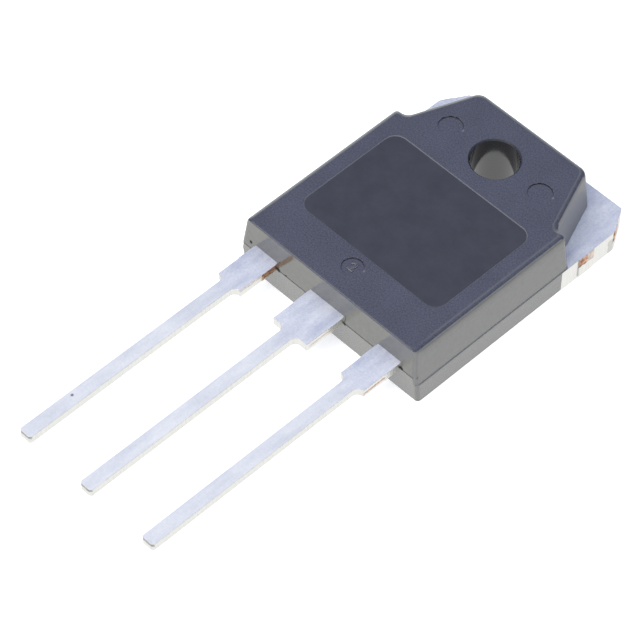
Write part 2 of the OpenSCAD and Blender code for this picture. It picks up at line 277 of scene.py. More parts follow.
# Electroplated tin, matt: a soft pale grey-lavender with cloudy lengthwise stains and no mirror.
# Its loose crystals scatter most of the light as paint does, so it is only in part metallic.
tin_plate, tree, out = new_material("matt electroplated tin")
coords = add(tree, "ShaderNodeTexCoord").outputs["Object"]
along = add(tree, "ShaderNodeMapping", {"Vector": coords, "Scale": (1.0, 0.3, 1.0)})
stains = add(tree, "ShaderNodeTexNoise", {"Vector": along.outputs[0], "Scale": 1 / (0.9 * MM),
                                          "Detail": 3.0, "Roughness": 0.6})
# Crystal grain of about 10 micrometres, drawn at 0.12 mm so that it shows
crystals = add(tree, "ShaderNodeTexNoise", {"Vector": coords, "Scale": 1 / (0.12 * MM),
                                            "Detail": 3.0})
blend = add(tree, "ShaderNodeMath", {0: crystals.outputs[0], 1: 0.5, 2: stains.outputs[0]},
            operation="MULTIPLY_ADD")
tone = add(tree, "ShaderNodeMapRange", {"Value": blend.outputs[0], "From Min": 0.5,
                                        "From Max": 1.0})
tin = add(tree, "ShaderNodeMix", {"Factor": tone.outputs[0], "A": linear("B2B8CE"),
                                  "B": linear("DBDEEA")}, data_type="RGBA")
# The narrow parts of the leads are whiter than what lies near the moulding
place = add(tree, "ShaderNodeSeparateXYZ", {0: coords})
narrow = add(tree, "ShaderNodeMapRange", {"Value": place.outputs[1], "From Min": -17.0 * MM,
                                          "From Max": -20.0 * MM, "To Max": 0.33})
whiter = add(tree, "ShaderNodeMix", {"Factor": narrow.outputs[0], "A": tin.outputs[2],
                                     "B": linear("F2F3F4")}, data_type="RGBA")
# One dark speck on the left lead: its centre and radius in millimetres
SPECK = ((-5.64, -31.18, 3.05), 0.13)
speck = near(tree, ragged(tree, coords, 0.1 * MM, 0.1 * MM), *SPECK)
stained = add(tree, "ShaderNodeMix", {"Factor": speck, "A": whiter.outputs[2],
                                      "B": linear("6E7079")}, data_type="RGBA")
rough = add(tree, "ShaderNodeMapRange", {"Value": stains.outputs[0], "To Min": 0.48,
                                         "To Max": 0.62})
bump = add(tree, "ShaderNodeBump", {"Height": crystals.outputs[0], "Distance": 0.002 * MM,
                                    "Strength": 1.0})
surface = add(tree, "ShaderNodeBsdfPrincipled", {
    "Base Color": stained.outputs[2], "Metallic": 0.25, "Roughness": rough.outputs[0],
    "Normal": bump.outputs[0]})
tree.links.new(surface.outputs[0], out.inputs[0])

# Sheared edge, plated over: smoother and creamier than the faces, with faint upright drag lines.
# Where a tie bar was cut after plating it shows raw copper, and the cut tips are dull.
# Low corner and high corner in millimetres, and how much copper shows.
COPPER_CUTS = (
    # Dam bars between the leads
    ((-4.52, -16.40, 2.55), (-4.30, -14.90, 3.06), 1.0),
    ((-6.60, -16.30, 2.62), (-6.38, -14.90, 3.02), 0.8),
    ((-1.60, -16.30, 2.62), (-1.38, -14.90, 3.02), 0.8),
    ((4.30, -16.30, 2.62), (4.52, -14.90, 3.02), 0.9),
    # Burr lines below the top edge of the wide parts
    ((-4.52, -18.20, 2.86), (-4.30, -16.40, 2.99), 0.45),
    ((1.42, -18.00, 2.68), (1.60, -16.20, 2.80), 0.5),
    ((6.38, -18.20, 2.66), (6.60, -16.40, 2.82), 0.8),
    # Tie bars on the sides and on the corner chamfers of the plate
    ((7.80, -0.28, 0.95), (8.05, 0.55, 1.80), 1.0),
    ((7.80, 0.40, 0.95), (8.05, 1.15, 1.80), 0.5),
    ((-8.05, -0.28, 0.95), (-7.80, 1.15, 1.80), 0.7),
    ((7.10, 3.00, 0.80), (8.05, 4.00, 1.80), 1.0),
    ((-8.05, 3.00, 0.80), (-7.10, 4.00, 1.80), 0.7))
# The same for what is dull: the tips of the leads, and the plate beside its cut tie bars
DULL_CUTS = (((-8, -36, 2.85), (8, -35.05, 4), 0.75),
             ((7.6, 2.55, 0), (8, 3.05, 1.2), 0.35),
             ((7.7, -0.35, 0.2), (8, -0.2, 1.9), 0.5))
sheared, tree, out = new_material("sheared copper edge, tin plated")
coords = add(tree, "ShaderNodeTexCoord").outputs["Object"]
upright = add(tree, "ShaderNodeMapping", {"Vector": coords, "Scale": (1.0, 1.0, 0.12)})
drag = add(tree, "ShaderNodeTexNoise", {"Vector": upright.outputs[0], "Scale": 1 / (0.18 * MM),
                                        "Detail": 3.0})
tin = add(tree, "ShaderNodeMix", {"Factor": drag.outputs[0], "A": linear("E3E3DF"),
                                  "B": linear("FAFAF6")}, data_type="RGBA")
torn = ragged(tree, coords, 0.3 * MM, 0.28 * MM)
bare, dull = (strongest(tree, [(inside(tree, torn, low, high), amount)
                               for low, high, amount in cuts])
              for cuts in (COPPER_CUTS, DULL_CUTS))
patches = add(tree, "ShaderNodeTexNoise", {"Vector": coords, "Scale": 1 / (0.25 * MM),
                                           "Detail": 2.0})
warmth = add(tree, "ShaderNodeMapRange", {"Value": patches.outputs[0], "From Min": 0.35,
                                          "From Max": 0.65})
copper = add(tree, "ShaderNodeMix", {"Factor": warmth.outputs[0], "A": linear("80502F"),
                                     "B": linear("E2B090")}, data_type="RGBA")
coloured = add(tree, "ShaderNodeMix", {"Factor": bare, "A": tin.outputs[2],
                                       "B": copper.outputs[2]}, data_type="RGBA")
cut = add(tree, "ShaderNodeMix", {"Factor": dull, "A": coloured.outputs[2],
                                  "B": linear("8F8A84")}, data_type="RGBA")
# Where an edge rounds off between a face and a side, the colour turns to a thin grey-beige line
lean = add(tree, "ShaderNodeSeparateXYZ", {0: add(tree, "ShaderNodeNewGeometry").outputs["Normal"]})
tilt = add(tree, "ShaderNodeMath", {0: lean.outputs[2]}, operation="ABSOLUTE")
rounding_line = add(tree, "ShaderNodeMapRange", {"Value": tilt.outputs[0], "From Min": 0.25,
                                        "From Max": 0.6, "To Max": 0.55})
edged = add(tree, "ShaderNodeMix", {"Factor": rounding_line.outputs[0], "A": cut.outputs[2],
                                    "B": linear("8C8478")}, data_type="RGBA")
rough = add(tree, "ShaderNodeMapRange", {"Value": drag.outputs[0], "To Min": 0.22,
                                         "To Max": 0.34})
bump = add(tree, "ShaderNodeBump", {"Height": drag.outputs[0], "Distance": 0.002 * MM,
                                    "Strength": 1.0})
surface = add(tree, "ShaderNodeBsdfPrincipled", {
    "Base Color": edged.outputs[2], "Metallic": 1.0, "Roughness": rough.outputs[0],
    "Normal": bump.outputs[0]})
tree.links.new(surface.outputs[0], out.inputs[0])

# Normals more upright than this belong to the flat faces, and the rest to the sheared edges
FLAT_UP = 0.93


def plate(piece):
    """Gives a metal piece its plated faces and its sheared edges."""
    piece.data.materials.append(tin_plate)
    piece.data.materials.append(sheared)
    for face in piece.data.polygons:
        face.material_index = int(abs(face.normal.z) < FLAT_UP)


header = dressed("collector_header", "tinned_header", EDGE_ROUND)
plate(header)
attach(header, "root")
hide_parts("collector_header")

# Outer leads
# Flat strips stamped from the thin gauge of the same copper strip, with a post inside the
# moulding. The dam bars that joined them to the centre lead were cut after moulding.
for node, name in (("base_lead", "tinned_base_lead"), ("emitter_lead", "tinned_emitter_lead")):
    lead = dressed(node, name, EDGE_ROUND)
    plate(lead)
    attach(lead, "root")
    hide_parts(node)

# Silicon die and its solder
# A square chip with aluminium pads on top, soldered flat on the header in a reducing furnace.
die_finish, tree, out = new_material("silicon with aluminium pads")
coords = add(tree, "ShaderNodeTexCoord").outputs["Object"]
cells = add(tree, "ShaderNodeTexBrick", {"Vector": coords, "Scale": 1 / (0.4 * MM),
                                         "Color1": linear("8A8F98"), "Color2": linear("9AA0AA"),
                                         "Mortar": linear("4A4F5A")})
surface = add(tree, "ShaderNodeBsdfPrincipled", {"Base Color": cells.outputs[0],
                                                 "Metallic": 0.6, "Roughness": 0.3})
tree.links.new(surface.outputs[0], out.inputs[0])

# Soft solder: grey, lightly crystalline and dull
solder_finish, tree, out = new_material("soft solder, dull")
coords = add(tree, "ShaderNodeTexCoord").outputs["Object"]
grains = add(tree, "ShaderNodeTexNoise", {"Vector": coords, "Scale": 1 / (0.2 * MM)})
tint = add(tree, "ShaderNodeMix", {"Factor": grains.outputs[0], "A": linear("9A9CA2"),
                                   "B": linear("B4B6BC")}, data_type="RGBA")
surface = add(tree, "ShaderNodeBsdfPrincipled", {"Base Color": tint.outputs[2],
                                                 "Metallic": 1.0, "Roughness": 0.45})
tree.links.new(surface.outputs[0], out.inputs[0])

for node, finish in (("silicon_die", die_finish), ("die_solder", solder_finish)):
    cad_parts[node].data.materials.clear()
    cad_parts[node].data.materials.append(finish)

# Bond wires
# Drawn aluminium wire: one thin wire to the base post and two thick ones to the emitter post. Each
# is pressed flat at both ends by the ultrasonic wedge that welds it, and rises in between.
wire_finish, tree, out = new_material("drawn aluminium wire")
coords = add(tree, "ShaderNodeTexCoord").outputs["Object"]
lines = add(tree, "ShaderNodeTexNoise", {"Vector": coords, "Scale": 1 / (0.1 * MM)})
rough = add(tree, "ShaderNodeMapRange", {"Value": lines.outputs[0], "To Min": 0.25,
                                         "To Max": 0.4})
surface = add(tree, "ShaderNodeBsdfPrincipled", {"Base Color": linear("DADCE0"),
                                                 "Metallic": 1.0,
                                                 "Roughness": rough.outputs[0]})
tree.links.new(surface.outputs[0], out.inputs[0])


def new_growth(name, inputs):
    """An empty Geometry Nodes tree with named inputs, its input node and its output node."""
    tree = bpy.data.node_groups.new(name, "GeometryNodeTree")
    tree.is_modifier = True
    for label, kind in inputs:
        tree.interface.new_socket(label, in_out="INPUT", socket_type="NodeSocket" + kind)
    tree.interface.new_socket("Geometry", in_out="OUTPUT", socket_type="NodeSocketGeometry")
    return tree, add(tree, "NodeGroupInput").outputs, add(tree, "NodeGroupOutput")


def grown(tree, name, sizes, path=None):
    """The plain mesh that a Geometry Nodes tree makes from its named sizes and a path of points."""
    mesh = bpy.data.meshes.new(name)
    points = path or []
    mesh.from_pydata(points, [(i, i + 1) for i in range(len(points) - 1)], [])
    piece = bpy.data.objects.new(name, mesh)
    bpy.context.scene.collection.objects.link(piece)
    growth = piece.modifiers.new("growth", "NODES")
    growth.node_group = tree
    for item in tree.interface.items_tree:
        if item.in_out == "INPUT" and item.name in sizes:
            growth[item.identifier] = sizes[item.name]
    evaluated = piece.evaluated_get(bpy.context.evaluated_depsgraph_get())
    piece.data = bpy.data.meshes.new_from_object(evaluated)
    piece.modifiers.clear()
    piece.data.name = name
    return piece


# The wire is straight in plan. Its height goes smoothly from one flat foot to the other, and an
# arch that is as high as the rise is added between them.
WIRE_POINTS = 32
WIRE_SIDES = 14
# In wire diameters
FOOT_HALF_HEIGHT = 0.3
FOOT_LENGTH = 2.5
# The wire is round where its arch has reached this share of the rise
ROUND_FROM = 0.35
tree, given, result = new_growth("bond wire", [
    ("Start", "Vector"), ("End", "Vector"), ("Rise", "Float"), ("Diameter", "Float"),
    ("Material", "Material")])
line = add(tree, "GeometryNodeCurvePrimitiveLine", {"Start": given["Start"], "End": given["End"]})
curve = add(tree, "GeometryNodeResampleCurve", {"Curve": line.outputs[0],
                                               "Count": WIRE_POINTS})
along = add(tree, "GeometryNodeSplineParameter").outputs["Factor"]
span = add(tree, "ShaderNodeVectorMath", {0: given["Start"], 1: given["End"]},
           operation="DISTANCE").outputs["Value"]
foot = add(tree, "ShaderNodeMath", {0: given["Diameter"], 1: FOOT_LENGTH}, operation="MULTIPLY")
foot = add(tree, "ShaderNodeMath", {0: foot.outputs[0], 1: span}, operation="DIVIDE").outputs[0]
past_foot = add(tree, "ShaderNodeMath", {0: 1.0, 1: foot}, operation="SUBTRACT").outputs[0]
gone = add(tree, "ShaderNodeMapRange", {"Value": along, "From Min": foot,
                                        "From Max": past_foot}).outputs[0]
eased = add(tree, "ShaderNodeMapRange", {"Value": along, "From Min": foot,
                                         "From Max": past_foot},
            interpolation_type="SMOOTHSTEP").outputs[0]
to_go = add(tree, "ShaderNodeMath", {0: 1.0, 1: gone}, operation="SUBTRACT")
# A parabola that is 0 at both feet and 1 half way
arch = add(tree, "ShaderNodeMath", {0: to_go.outputs[0], 1: gone}, operation="MULTIPLY")
arch = add(tree, "ShaderNodeMath", {0: arch.outputs[0], 1: 4.0}, operation="MULTIPLY").outputs[0]
low = add(tree, "ShaderNodeSeparateXYZ", {0: given["Start"]})
high = add(tree, "ShaderNodeSeparateXYZ", {0: given["End"]})
base = add(tree, "ShaderNodeMapRange", {"Value": eased, "To Min": low.outputs[2],
                                        "To Max": high.outputs[2]})
centre = add(tree, "ShaderNodeMath", {0: arch, 1: given["Rise"], 2: base.outputs[0]},
             operation="MULTIPLY_ADD")
flat = add(tree, "GeometryNodeInputPosition")
plan = add(tree, "ShaderNodeSeparateXYZ", {0: flat.outputs[0]})
raised = add(tree, "ShaderNodeCombineXYZ", {0: plan.outputs[0], 1: plan.outputs[1],
                                            2: centre.outputs[0]})
bent = add(tree, "GeometryNodeSetPosition", {"Geometry": curve.outputs[0],
                                             "Position": raised.outputs[0]})
# How tall the wire is at each point, as a share of its width: pressed flat at the feet
lift_off = add(tree, "ShaderNodeMapRange", {"Value": arch, "From Max": ROUND_FROM})
tall = add(tree, "ShaderNodeMapRange", {"Value": lift_off.outputs[0],
                                        "To Min": 2 * FOOT_HALF_HEIGHT, "To Max": 1.0})
held = add(tree, "GeometryNodeCaptureAttribute", {0: bent.outputs[0]})
held.capture_items.new("FLOAT", "Centre Height")
held.capture_items.new("FLOAT", "Flatness")
tree.links.new(centre.outputs[0], held.inputs["Centre Height"])
tree.links.new(tall.outputs[0], held.inputs["Flatness"])
radius = add(tree, "ShaderNodeMath", {0: given["Diameter"], 1: 0.5}, operation="MULTIPLY")
ring = add(tree, "GeometryNodeCurvePrimitiveCircle", {"Resolution": WIRE_SIDES,
                                                      "Radius": radius.outputs[0]})
skin = add(tree, "GeometryNodeCurveToMesh", {"Curve": held.outputs[0],
                                             "Profile Curve": ring.outputs[0],
                                             "Fill Caps": True})
place = add(tree, "GeometryNodeInputPosition")
parts = add(tree, "ShaderNodeSeparateXYZ", {0: place.outputs[0]})
above = add(tree, "ShaderNodeMath", {0: parts.outputs[2], 1: held.outputs["Centre Height"]},
            operation="SUBTRACT")
squashed = add(tree, "ShaderNodeMath", {0: above.outputs[0], 1: held.outputs["Flatness"],
                                        2: held.outputs["Centre Height"]},
               operation="MULTIPLY_ADD")
pressed = add(tree, "ShaderNodeCombineXYZ", {0: parts.outputs[0], 1: parts.outputs[1],
                                             2: squashed.outputs[0]})
wedged = add(tree, "GeometryNodeSetPosition", {"Geometry": skin.outputs[0],
                                               "Position": pressed.outputs[0]})
soft = add(tree, "GeometryNodeSetShadeSmooth", {0: wedged.outputs[0]})
real = add(tree, "GeometryNodeRealizeInstances", {0: soft.outputs[0]})
coated = add(tree, "GeometryNodeSetMaterial", {"Geometry": real.outputs[0],
                                               "Material": given["Material"]})
tree.links.new(coated.outputs[0], result.inputs[0])

WIRE_RISE = 1.0 * MM
THIN, THICK = 0.20 * MM, 0.38 * MM
die_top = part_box("silicon_die")[1][2]
lead_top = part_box("base_lead")[1][2]
# Node, plan position of each foot in millimetres, and wire diameter
for node, start, end, diameter in (
        ("base_wire", (-1.560, -7.916), (-5.450, -12.800), THIN),
        ("emitter_wire_left", (0.624, -6.616), (4.930, -12.800), THICK),
        ("emitter_wire_right", (1.664, -5.784), (5.970, -12.800), THICK)):
    foot_height = FOOT_HALF_HEIGHT * diameter
    wire = grown(tree, "drawn_" + node, {
        "Start": (start[0] * MM, start[1] * MM, die_top + foot_height),
        "End": (end[0] * MM, end[1] * MM, lead_top + foot_height),
        "Rise": WIRE_RISE, "Diameter": diameter, "Material": wire_finish})
    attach(wire, "root")
    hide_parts(node)

# Moulded body
# One block of silica-filled epoxy, transfer moulded round the metal. The top has the fine matt
# grain of a spark-eroded mould with a smoother field for marking; the drafted sides and the screw
# hole come from polished steel and carry a shiny resin skin.
TOP_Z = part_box("moulded_body")[1][2]
# Round marks in the top face, two ejector pins' and a recess: centre and radius in millimetres
MARKS = (((-3.95, 0.0), 0.85), ((3.95, 0.0), 0.85), ((0.0, -12.8), 0.75))
# The mould pins stood a trace askew, so that only the rims on this side stand up and wear. The
# painted shade lines of the marks lie on this side too
RIM_SIDE = Vector((-0.45, 0.89, 0.0))
RIM_WEAR = 0.03 * MM
# How far a rim's points may lie from its circle, and below the top face
RIM_REACH = 0.12 * MM
RIM_DROP = 0.005 * MM


def on_mark_rim(start, end):
    """Whether an edge runs along the upper rim of a round mark, on the side that wears."""
    for (x, y), size in MARKS:
        spokes = [Vector((p.x - x * MM, p.y - y * MM, 0)) for p in (start, end)]
        on_circle = all(abs(spoke.length - size * MM) < RIM_REACH for spoke in spokes)
        on_top = min(start.z, end.z) > TOP_Z - RIM_DROP
        if on_circle and on_top and all(spoke.dot(RIM_SIDE) > 0 for spoke in spokes):
            return True
    return False


# Matt compound: bluish charcoal with a fine sparkle of filler, and a painted sheen that makes its
# edges a shade lighter
matt_skin, tree, out = new_material("moulding compound, spark-eroded finish")
coords = add(tree, "ShaderNodeTexCoord").outputs["Object"]
clouds = add(tree, "ShaderNodeTexNoise", {"Vector": coords, "Scale": 1 / (2.2 * MM),
                                          "Detail": 2.0})
# Filler grains of 30 to 70 micrometres, drawn at 0.1 mm so that they show
specks = add(tree, "ShaderNodeTexNoise", {"Vector": coords, "Scale": 1 / (0.1 * MM),
                                          "Detail": 2.0, "Roughness": 0.7})
blend = add(tree, "ShaderNodeMath", {0: clouds.outputs[0], 1: 0.15, 2: specks.outputs[0]},
            operation="MULTIPLY_ADD")
tone = add(tree, "ShaderNodeMapRange", {"Value": blend.outputs[0], "From Min": 0.3,
                                        "From Max": 0.85})
charcoal = add(tree, "ShaderNodeMix", {"Factor": tone.outputs[0], "A": linear("292C3D"),
                                       "B": linear("5A5D71")}, data_type="RGBA")
normal = add(tree, "ShaderNodeNewGeometry").outputs["Normal"]
lean = add(tree, "ShaderNodeSeparateXYZ", {0: normal})
# How much painted sheen the skin gets, by the upward part of its normal: most where an edge starts
# to round
EDGE_SHEEN = ((0.0, 0.1), (0.90, 0.1), (0.955, 0.7), (0.985, 0.6), (0.999, 0.0), (1.0, 0.0))
worn = add(tree, "ShaderNodeValToRGB", {0: lean.outputs[2]})
steps = worn.color_ramp.elements
for position, amount in EDGE_SHEEN[1:-1]:
    steps.new(position)
for step, (position, amount) in zip(steps, EDGE_SHEEN):
    step.color = (amount, amount, amount, 1.0)
# The lead face's edge gets no painted sheen
SHEEN_FADE_Y = (-14.4 * MM, -12.6 * MM)
place = add(tree, "ShaderNodeSeparateXYZ", {0: coords})
sheen_reach = add(tree, "ShaderNodeMapRange", {"Value": place.outputs[1], "From Min": SHEEN_FADE_Y[0],
                                           "From Max": SHEEN_FADE_Y[1]})
# The painted sheen on the edges
painted_edge_sheen = add(tree, "ShaderNodeMath", {0: worn.outputs[0], 1: sheen_reach.outputs[0]},
                operation="MULTIPLY")
# The edges that face the tip and the left side get a warm, light painted sheen
SHEEN_SIDE = (-0.71, 0.70, 0.0)
turned = add(tree, "ShaderNodeVectorMath", {0: normal, 1: SHEEN_SIDE}, operation="DOT_PRODUCT")
painted_rim_sheen = add(tree, "ShaderNodeMapRange", {"Value": turned.outputs["Value"], "From Min": 0.04,
                                           "From Max": 0.3})
# Steep skin just below the top face, as on the rims of the marks, gets a lighter painted highlight
CREST_DEPTH = 0.06 * MM
CREST_LEAN = 0.82
near_top = add(tree, "ShaderNodeMath", {0: place.outputs[2], 1: TOP_Z - CREST_DEPTH},
               operation="GREATER_THAN")
steep = add(tree, "ShaderNodeMath", {0: lean.outputs[2], 1: CREST_LEAN}, operation="LESS_THAN")
crest_highlight = add(tree, "ShaderNodeMath", {0: near_top.outputs[0], 1: steep.outputs[0]},
            operation="MULTIPLY")
# Colour of the painted sheen: warmer and lighter on the edges that face the tip and the left side
sheen_tone = add(tree, "ShaderNodeMix", {"Factor": painted_rim_sheen.outputs[0], "A": linear("62656D"),
                                   "B": linear("8E908F")}, data_type="RGBA")
# All painted sheen and highlight on the matt skin, mixed over its own colour
painted_sheen = strongest(tree, [(painted_edge_sheen.outputs[0], 1.0), (painted_rim_sheen.outputs[0], 1.0),
                           (crest_highlight.outputs[0], 1.0)])
# The painted highlight on the steep skin has its own tone
shine = add(tree, "ShaderNodeMix", {"Factor": crest_highlight.outputs[0], "A": sheen_tone.outputs[2],
                                    "B": linear("6C6F79")}, data_type="RGBA")
sheened = add(tree, "ShaderNodeMix", {"Factor": painted_sheen, "A": charcoal.outputs[2],
                                     "B": shine.outputs[2]}, data_type="RGBA")
# Each round mark has a painted shade line along its rim on one side, and a painted glint
# at one end. The line runs this far inside the rim, in millimetres, and is twice as wide.
RIM_SHADE_INSET = 0.03
GLINT_RADIUS = 0.13
# Where a painted glint sits from its mark's centre, in radii of the mark
GLINT_PLACE = (0.97, 0.3)
uneven = ragged(tree, coords, 0.25 * MM, 0.06 * MM)
rim_shaded = sheened.outputs[2]
for (x, y), size in MARKS:
    spoke = add(tree, "ShaderNodeVectorMath", {0: uneven, 1: (x * MM, y * MM, TOP_Z)},
                operation="SUBTRACT")
    spoke = add(tree, "ShaderNodeVectorMath", {0: spoke.outputs[0], 1: (1, 1, 0)},
                operation="MULTIPLY")
    away = add(tree, "ShaderNodeVectorMath", {0: spoke.outputs[0]}, operation="LENGTH")
    along = add(tree, "ShaderNodeVectorMath", {0: spoke.outputs[0], 1: RIM_SIDE},
                operation="DOT_PRODUCT")
    shaded_side = add(tree, "ShaderNodeMapRange", {"Value": along.outputs["Value"],
                                                   "From Max": 0.5 * size * MM})
    on_line = add(tree, "ShaderNodeMath", {0: away.outputs["Value"], 1: (size - RIM_SHADE_INSET) * MM,
                                           2: RIM_SHADE_INSET * MM}, operation="COMPARE")
    painted_rim_shade = add(tree, "ShaderNodeMath", {0: on_line.outputs[0], 1: shaded_side.outputs[0]},
              operation="MULTIPLY")
    rim_shaded = add(tree, "ShaderNodeMix", {"Factor": painted_rim_shade.outputs[0], "A": rim_shaded,
                                         "B": linear("2E303B")}, data_type="RGBA").outputs[2]
glint_centres = [(x + GLINT_PLACE[0] * size, y + GLINT_PLACE[1] * size, TOP_Z / MM)
                for (x, y), size in MARKS]
# Painted glints at one end of each mark's rim
painted_glints = strongest(tree, [(near(tree, uneven, centre, GLINT_RADIUS), 0.4)
                         for centre in glint_centres])
ringed = add(tree, "ShaderNodeMix", {"Factor": painted_glints, "A": rim_shaded,
                                     "B": linear("8E909C")}, data_type="RGBA")
bump = add(tree, "ShaderNodeBump", {"Height": specks.outputs[0], "Distance": 0.008 * MM,
                                    "Strength": 1.0})
surface = add(tree, "ShaderNodeBsdfPrincipled", {
    "Base Color": ringed.outputs[2], "Roughness": 0.62, "IOR": 1.5, "Normal": bump.outputs[0]})
tree.links.new(surface.outputs[0], out.inputs[0])

# Smoother field: the same compound against fine-stoned steel, darker and nearly without sparkle
field_skin, tree, out = new_material("moulding compound, fine-stoned field")
coords = add(tree, "ShaderNodeTexCoord").outputs["Object"]
clouds = add(tree, "ShaderNodeTexNoise", {"Vector": coords, "Scale": 1 / (1.6 * MM),
                                          "Detail": 4.0, "Roughness": 0.65})
tint = add(tree, "ShaderNodeMix", {"Factor": clouds.outputs[0], "A": linear("242735"),
                                   "B": linear("3D404D")}, data_type="RGBA")
bump = add(tree, "ShaderNodeBump", {"Height": clouds.outputs[0], "Distance": 0.004 * MM,
                                    "Strength": 1.0})
surface = add(tree, "ShaderNodeBsdfPrincipled", {
    "Base Color": tint.outputs[2], "Roughness": 0.55, "IOR": 1.5, "Normal": bump.outputs[0]})
tree.links.new(surface.outputs[0], out.inputs[0])

# Polished draft faces: a resin-rich skin that mirrors the surroundings softly, over grey compound,
# with a few dark spots given by centre and radius in millimetres: pits where the skin did not
# fill, and painted shade in the corners beside the three lead roots
PITS_AND_ROOT_SHADE = (((-6.88, -14.96, 3.02), 0.16), ((-3.66, -15.0, 2.51), 0.10), ((-4.34, -15.0, 2.47), 0.22),
        ((1.54, -15.0, 2.42), 0.20), ((6.52, -15.0, 2.51), 0.20), ((-3.1, -15.0, 2.47), 0.07))
# Low and high corner of the parting line on the lead face, and of the top of all the sides
SEAM_BAND = ((-8, -15.3, 2.41), (8, -14.7, 2.49))
UPPER_BAND = ((-9, -14.3, 4.2), (9, 6, 5.5))
draft_skin, tree, out = new_material("moulding compound, polished draft faces")
coords = add(tree, "ShaderNodeTexCoord").outputs["Object"]
clouds = add(tree, "ShaderNodeTexNoise", {"Vector": coords, "Scale": 1 / (0.35 * MM),
                                          "Detail": 5.0, "Roughness": 0.7})
tint = add(tree, "ShaderNodeMix", {"Factor": clouds.outputs[0], "A": linear("50514E"),
                                   "B": linear("696A66")}, data_type="RGBA")
torn = ragged(tree, coords, 0.08 * MM, 0.08 * MM)
pits_and_root_shade = strongest(tree, [(near(tree, torn, centre, size), 1.0) for centre, size in PITS_AND_ROOT_SHADE])
pitted_and_shaded = add(tree, "ShaderNodeMix", {"Factor": pits_and_root_shade, "A": tint.outputs[2],
                                     "B": linear("15130F")}, data_type="RGBA")
seam = inside(tree, torn, *SEAM_BAND, 0.03)
lined = add(tree, "ShaderNodeMix", {"Factor": seam, "A": pitted_and_shaded.outputs[2],
                                    "B": linear("2C2B29")}, data_type="RGBA")
smooth = add(tree, "ShaderNodeMapRange", {"Value": clouds.outputs[0], "To Min": 0.12,
                                          "To Max": 0.18})
# No polish in the pits and along the seam, and little towards the rounded top edge
upper = inside(tree, coords, *UPPER_BAND, 0.4)
edge = add(tree, "ShaderNodeMix", {0: upper, 2: smooth.outputs[0], 3: 0.6}, data_type="FLOAT")
rough = add(tree, "ShaderNodeMix", {0: pits_and_root_shade, 2: edge.outputs[0], 3: 0.8}, data_type="FLOAT")
bump = add(tree, "ShaderNodeBump", {"Height": clouds.outputs[0], "Distance": 0.0004 * MM,
                                    "Strength": 1.0})
gloss = add(tree, "ShaderNodeBsdfPrincipled", {
    "Base Color": lined.outputs[2], "Roughness": rough.outputs[0], "IOR": 2.1,
    "Coat Weight": 0.6, "Coat Roughness": 0.1, "Coat IOR": 1.5, "Normal": bump.outputs[0]})
# Dark, dull skin for the pits and the seam, which beside the lead roots is painted shade
broken_skin_and_shade = add(tree, "ShaderNodeBsdfPrincipled", {"Base Color": linear("1E1C1A"),
                                                "Roughness": 0.8, "IOR": 1.4})
hollows_and_shade = strongest(tree, [(pits_and_root_shade, 0.85), (seam, 0.85)])
surface = add(tree, "ShaderNodeMixShader", {0: hollows_and_shade, 1: gloss.outputs[0],
                                            2: broken_skin_and_shade.outputs[0]})
tree.links.new(surface.outputs[0], out.inputs[0])


def resin_skin(name, cloud, shades, roughs, gloss):
    """A resin-rich skin whose shade, polish and relief follow the same soft clouds."""
    skin, tree, out = new_material(name)
    coords = add(tree, "ShaderNodeTexCoord").outputs["Object"]
    clouds = add(tree, "ShaderNodeTexNoise", {"Vector": coords, "Scale": 1 / cloud,
                                              "Detail": 4.0, "Roughness": 0.65})
    tint = add(tree, "ShaderNodeMix", {"Factor": clouds.outputs[0], "A": linear(shades[0]),
                                       "B": linear(shades[1])}, data_type="RGBA")
    rough = add(tree, "ShaderNodeMapRange", {"Value": clouds.outputs[0], "To Min": roughs[0],
                                             "To Max": roughs[1]})
    bump = add(tree, "ShaderNodeBump", {"Height": clouds.outputs[0], "Distance": 0.002 * MM,
                                        "Strength": 1.0})
    surface = add(tree, "ShaderNodeBsdfPrincipled", {
        "Base Color": tint.outputs[2], "Roughness": rough.outputs[0],
        "Normal": bump.outputs[0], **gloss})
    tree.links.new(surface.outputs[0], out.inputs[0])
    return skin


# Flanks, tip and shoulders: the same skin, less polished, so that reflections spread. Its paler
# colour is painted light, standing in for the bright floor that it mirrors
soft_skin = resin_skin("moulding compound, stoned flanks", 0.3 * MM, ("6A6C70", "7A7C80"),
                       (0.5, 0.58), {"IOR": 2.1, "Coat Weight": 0.6, "Coat Roughness": 0.35,
                                     "Coat IOR": 1.5})
# Screw hole: the polished mould pin leaves the shiniest skin, and its darkest colour is painted
# shade inside the hole
bore_skin = resin_skin("moulding compound, polished bore", 0.8 * MM, ("26282E", "32343A"),
                       (0.07, 0.16), {"IOR": 1.8, "Coat Weight": 0.5, "Coat Roughness": 0.08,
                                      "Coat IOR": 1.5})

body = dressed("moulded_body", "epoxy_moulding", RIM_WEAR, worn=on_mark_rim)
SKINS = (matt_skin, field_skin, draft_skin, soft_skin, bore_skin)
for skin in SKINS:
    body.data.materials.append(skin)
# Where the skins end: the screw hole with its rim, and the field with how deep its faces lie
HOLE_REACH = 1.76 * MM
FIELD_Y = (-11.6 * MM, -2.9 * MM)
FIELD_DEPTH = (0.03 * MM, 0.2 * MM)
# The flat of the top with its low steps, and the rounded edge round it
TOP_X = 6.3 * MM
TOP_Y = (-14.3 * MM, 1.0 * MM)
TOP_STEP = 0.1 * MM
TOP_ROUND = 0.5 * MM
# The polished lower half, and the far end of the long sides
LOWER_Z = 2.0 * MM
LONG_SIDE_END = 1.0 * MM


